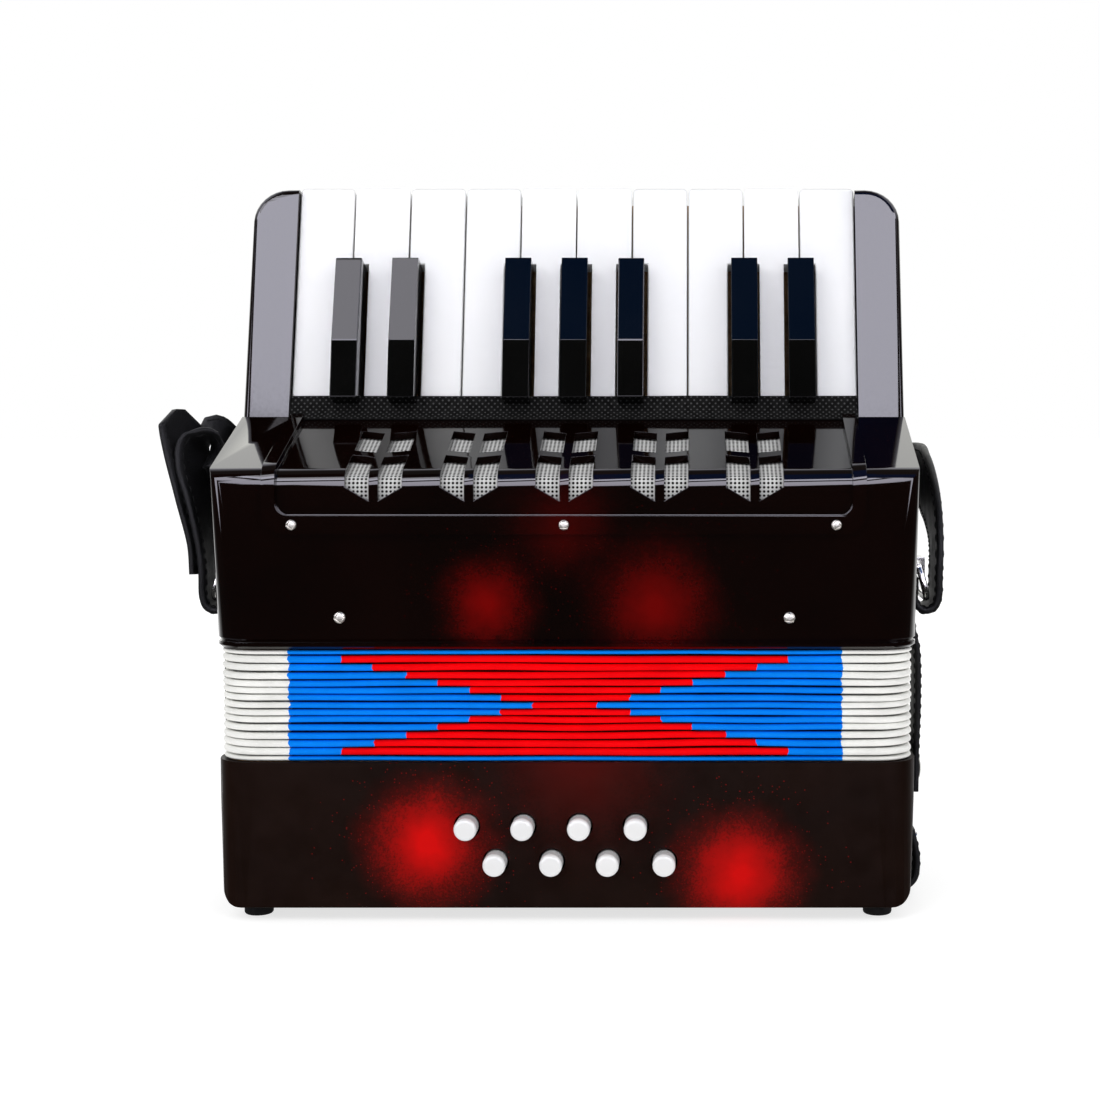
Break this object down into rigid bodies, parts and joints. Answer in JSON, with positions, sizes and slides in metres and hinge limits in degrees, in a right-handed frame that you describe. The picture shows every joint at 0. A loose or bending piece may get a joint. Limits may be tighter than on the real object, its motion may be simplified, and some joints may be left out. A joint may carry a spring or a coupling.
{
  "type": "piano accordion",
  "caption": "Small piano accordion with a leaning keyboard, bass buttons, striped bellows, slotted grille cover and straps, standing on the feet of its bass end.",
  "frame": {"origin": "bottom centre of the complete object's box, on the surface that the feet stand on", "axes": "+X along the keyboard towards the low keys, +Y from the front to the player's side, +Z from the bass end up to the keyboard, the way the bellows open"},
  "size_m": [0.2638, 0.1446, 0.2424],
  "materials": {
    "gloss_casing": "polished dark red-brown moulded plastic",
    "satin_casing": "satin dark brown moulded plastic with sprayed red highlights",
    "white_plastic": "smooth white moulded plastic",
    "black_plastic": "polished black moulded plastic",
    "chrome": "bright nickel plate",
    "wood": "plain light wood, unvarnished",
    "reed_metal": "dull brass and aluminium reed comb",
    "rubber": "matt black rubber",
    "leatherette": "black grained leatherette with stitched edges",
    "bellows_card": "folded card covered with glossy cloth tape in red, blue and white",
    "white_mesh": "white open-weave grille cloth",
    "black_mesh": "black spacer mesh with a fine dot pattern"
  },
  "bodies": {
    "bass body": {"bass_casing": "satin_casing", "foot_front_left": "rubber", "foot_front_right": "rubber", "foot_rear_left": "rubber", "foot_rear_right": "rubber", "bass_soundboard": "wood", "bass_reed_block": "reed_metal", "bass_bellows_frame": "wood", "bellows": "bellows_card", "hand_strap": "leatherette", "snap_stud_left": "chrome", "snap_stud_right": "chrome"},
    "treble body": {"treble_casing": "gloss_casing", "treble_back_cover": "satin_casing", "treble_bellows_frame": "wood", "treble_soundboard": "wood", "treble_reed_block": "reed_metal", "grille_cover": "gloss_casing", "grille_cloth": "white_mesh", "dust_cloth": "black_mesh", "key_axle": "chrome", "keyboard_bed": "wood", "grille_screw_1": "chrome", "grille_screw_2": "chrome", "grille_screw_3": "chrome", "casing_screw_1": "chrome", "casing_screw_2": "chrome", "strap_bracket_left": "chrome", "strap_bracket_right": "chrome", "bellows_strap_left": "leatherette", "bellows_strap_right": "leatherette", "shoulder_strap": "leatherette"},
    "white_key_01": {"white_key_01": "white_plastic"},
    "white_key_02": {"white_key_02": "white_plastic"},
    "white_key_03": {"white_key_03": "white_plastic"},
    "white_key_04": {"white_key_04": "white_plastic"},
    "white_key_05": {"white_key_05": "white_plastic"},
    "white_key_06": {"white_key_06": "white_plastic"},
    "white_key_07": {"white_key_07": "white_plastic"},
    "white_key_08": {"white_key_08": "white_plastic"},
    "white_key_09": {"white_key_09": "white_plastic"},
    "white_key_10": {"white_key_10": "white_plastic"},
    "black_key_1": {"black_key_1": "black_plastic"},
    "black_key_2": {"black_key_2": "black_plastic"},
    "black_key_3": {"black_key_3": "black_plastic"},
    "black_key_4": {"black_key_4": "black_plastic"},
    "black_key_5": {"black_key_5": "black_plastic"},
    "black_key_6": {"black_key_6": "black_plastic"},
    "black_key_7": {"black_key_7": "black_plastic"},
    "bass_button_1": {"bass_button_1": "white_plastic"},
    "bass_button_2": {"bass_button_2": "white_plastic"},
    "bass_button_3": {"bass_button_3": "white_plastic"},
    "bass_button_4": {"bass_button_4": "white_plastic"},
    "bass_button_5": {"bass_button_5": "white_plastic"},
    "bass_button_6": {"bass_button_6": "white_plastic"},
    "bass_button_7": {"bass_button_7": "white_plastic"},
    "bass_button_8": {"bass_button_8": "white_plastic"},
    "air_button": {"air_button": "black_plastic"},
    "strap_ring_left": {"strap_ring_left": "chrome"},
    "strap_ring_right": {"strap_ring_right": "chrome"}
  },
  "joints": [
    {"name": "bellows_opening", "type": "slide", "parent": "bass body", "child": "treble body", "axis": [0, 0, 1], "range_m": [0, 0.16], "deforming": ["bellows"]},
    {"name": "white_key_01_hinge", "type": "hinge", "parent": "treble body", "child": "white_key_01", "pos_m": [-0.08042, -0.01265, 0.14757], "axis": [-1, 0, 0], "range_deg": [0, 2.6], "stiffness_Nm_per_rad": 0.5, "springref_deg": -5.16},
    {"name": "white_key_02_hinge", "type": "hinge", "parent": "treble body", "child": "white_key_02", "pos_m": [-0.06096, -0.01265, 0.14757], "axis": [-1, 0, 0], "range_deg": [0, 2.6], "stiffness_Nm_per_rad": 0.5, "springref_deg": -5.16},
    {"name": "white_key_03_hinge", "type": "hinge", "parent": "treble body", "child": "white_key_03", "pos_m": [-0.0415, -0.01265, 0.14757], "axis": [-1, 0, 0], "range_deg": [0, 2.6], "stiffness_Nm_per_rad": 0.5, "springref_deg": -5.16},
    {"name": "white_key_04_hinge", "type": "hinge", "parent": "treble body", "child": "white_key_04", "pos_m": [-0.02204, -0.01265, 0.14757], "axis": [-1, 0, 0], "range_deg": [0, 2.6], "stiffness_Nm_per_rad": 0.5, "springref_deg": -5.16},
    {"name": "white_key_05_hinge", "type": "hinge", "parent": "treble body", "child": "white_key_05", "pos_m": [-0.00258, -0.01265, 0.14757], "axis": [-1, 0, 0], "range_deg": [0, 2.6], "stiffness_Nm_per_rad": 0.5, "springref_deg": -5.16},
    {"name": "white_key_06_hinge", "type": "hinge", "parent": "treble body", "child": "white_key_06", "pos_m": [0.01688, -0.01265, 0.14757], "axis": [-1, 0, 0], "range_deg": [0, 2.6], "stiffness_Nm_per_rad": 0.5, "springref_deg": -5.16},
    {"name": "white_key_07_hinge", "type": "hinge", "parent": "treble body", "child": "white_key_07", "pos_m": [0.03634, -0.01265, 0.14757], "axis": [-1, 0, 0], "range_deg": [0, 2.6], "stiffness_Nm_per_rad": 0.5, "springref_deg": -5.16},
    {"name": "white_key_08_hinge", "type": "hinge", "parent": "treble body", "child": "white_key_08", "pos_m": [0.0558, -0.01265, 0.14757], "axis": [-1, 0, 0], "range_deg": [0, 2.6], "stiffness_Nm_per_rad": 0.5, "springref_deg": -5.16},
    {"name": "white_key_09_hinge", "type": "hinge", "parent": "treble body", "child": "white_key_09", "pos_m": [0.07526, -0.01265, 0.14757], "axis": [-1, 0, 0], "range_deg": [0, 2.6], "stiffness_Nm_per_rad": 0.5, "springref_deg": -5.16},
    {"name": "white_key_10_hinge", "type": "hinge", "parent": "treble body", "child": "white_key_10", "pos_m": [0.09472, -0.01265, 0.14757], "axis": [-1, 0, 0], "range_deg": [0, 2.6], "stiffness_Nm_per_rad": 0.5, "springref_deg": -5.16},
    {"name": "black_key_1_hinge", "type": "hinge", "parent": "treble body", "child": "black_key_1", "pos_m": [-0.07069, -0.01265, 0.14757], "axis": [-1, 0, 0], "range_deg": [0, 2.6], "stiffness_Nm_per_rad": 0.5, "springref_deg": -5.16},
    {"name": "black_key_2_hinge", "type": "hinge", "parent": "treble body", "child": "black_key_2", "pos_m": [-0.05123, -0.01265, 0.14757], "axis": [-1, 0, 0], "range_deg": [0, 2.6], "stiffness_Nm_per_rad": 0.5, "springref_deg": -5.16},
    {"name": "black_key_3_hinge", "type": "hinge", "parent": "treble body", "child": "black_key_3", "pos_m": [-0.01231, -0.01265, 0.14757], "axis": [-1, 0, 0], "range_deg": [0, 2.6], "stiffness_Nm_per_rad": 0.5, "springref_deg": -5.16},
    {"name": "black_key_4_hinge", "type": "hinge", "parent": "treble body", "child": "black_key_4", "pos_m": [0.00715, -0.01265, 0.14757], "axis": [-1, 0, 0], "range_deg": [0, 2.6], "stiffness_Nm_per_rad": 0.5, "springref_deg": -5.16},
    {"name": "black_key_5_hinge", "type": "hinge", "parent": "treble body", "child": "black_key_5", "pos_m": [0.02661, -0.01265, 0.14757], "axis": [-1, 0, 0], "range_deg": [0, 2.6], "stiffness_Nm_per_rad": 0.5, "springref_deg": -5.16},
    {"name": "black_key_6_hinge", "type": "hinge", "parent": "treble body", "child": "black_key_6", "pos_m": [0.06553, -0.01265, 0.14757], "axis": [-1, 0, 0], "range_deg": [0, 2.6], "stiffness_Nm_per_rad": 0.5, "springref_deg": -5.16},
    {"name": "black_key_7_hinge", "type": "hinge", "parent": "treble body", "child": "black_key_7", "pos_m": [0.08499, -0.01265, 0.14757], "axis": [-1, 0, 0], "range_deg": [0, 2.6], "stiffness_Nm_per_rad": 0.5, "springref_deg": -5.16},
    {"name": "bass_button_1_travel", "type": "slide", "parent": "bass body", "child": "bass_button_1", "axis": [0, 1, 0], "range_m": [0, 0.0035], "stiffness_N_per_m": 200, "springref_m": -0.003},
    {"name": "bass_button_2_travel", "type": "slide", "parent": "bass body", "child": "bass_button_2", "axis": [0, 1, 0], "range_m": [0, 0.0035], "stiffness_N_per_m": 200, "springref_m": -0.003},
    {"name": "bass_button_3_travel", "type": "slide", "parent": "bass body", "child": "bass_button_3", "axis": [0, 1, 0], "range_m": [0, 0.0035], "stiffness_N_per_m": 200, "springref_m": -0.003},
    {"name": "bass_button_4_travel", "type": "slide", "parent": "bass body", "child": "bass_button_4", "axis": [0, 1, 0], "range_m": [0, 0.0035], "stiffness_N_per_m": 200, "springref_m": -0.003},
    {"name": "bass_button_5_travel", "type": "slide", "parent": "bass body", "child": "bass_button_5", "axis": [0, 1, 0], "range_m": [0, 0.0035], "stiffness_N_per_m": 200, "springref_m": -0.003},
    {"name": "bass_button_6_travel", "type": "slide", "parent": "bass body", "child": "bass_button_6", "axis": [0, 1, 0], "range_m": [0, 0.0035], "stiffness_N_per_m": 200, "springref_m": -0.003},
    {"name": "bass_button_7_travel", "type": "slide", "parent": "bass body", "child": "bass_button_7", "axis": [0, 1, 0], "range_m": [0, 0.0035], "stiffness_N_per_m": 200, "springref_m": -0.003},
    {"name": "bass_button_8_travel", "type": "slide", "parent": "bass body", "child": "bass_button_8", "axis": [0, 1, 0], "range_m": [0, 0.0035], "stiffness_N_per_m": 200, "springref_m": -0.003},
    {"name": "air_button_travel", "type": "slide", "parent": "bass body", "child": "air_button", "axis": [0, 0, 1], "range_m": [0, 0.0025], "stiffness_N_per_m": 200, "springref_m": -0.003},
    {"name": "strap_ring_left_swing", "type": "hinge", "parent": "treble body", "child": "strap_ring_left", "pos_m": [-0.10875, -0.0238, 0.112], "axis": [0, 1, 0], "range_deg": [-4, 4]},
    {"name": "strap_ring_right_swing", "type": "hinge", "parent": "treble body", "child": "strap_ring_right", "pos_m": [0.12305, -0.0238, 0.112], "axis": [0, 1, 0], "range_deg": [-4, 4]}
  ]
}
